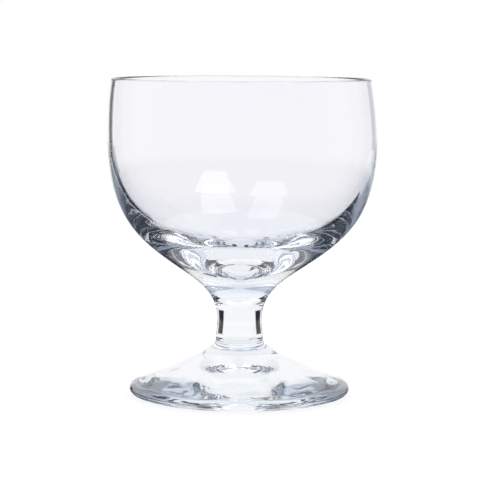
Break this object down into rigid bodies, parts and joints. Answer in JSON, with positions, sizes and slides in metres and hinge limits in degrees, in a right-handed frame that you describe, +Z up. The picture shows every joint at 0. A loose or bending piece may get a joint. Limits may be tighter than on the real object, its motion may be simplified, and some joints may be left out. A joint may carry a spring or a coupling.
{
  "type": "stemmed sake cup",
  "caption": "Clear glass sake cup: a round bowl with a rounded lip and heavy base, on a short waisted stem and a wide low conical foot.",
  "frame": {"origin": "centre of the foot on the table that the cup stands on", "axes": "+Z up along the cup's turning axis; the cup is round, so X and Y are any two level directions"},
  "size_m": [0.0662, 0.0662, 0.078],
  "materials": {
    "clear_glass": "fire polished, colourless with a faint cool cast where the glass is thick"
  },
  "bodies": {
    "root": {"bowl": "clear_glass", "stem": "clear_glass", "foot": "clear_glass"}
  },
  "joints": []
}
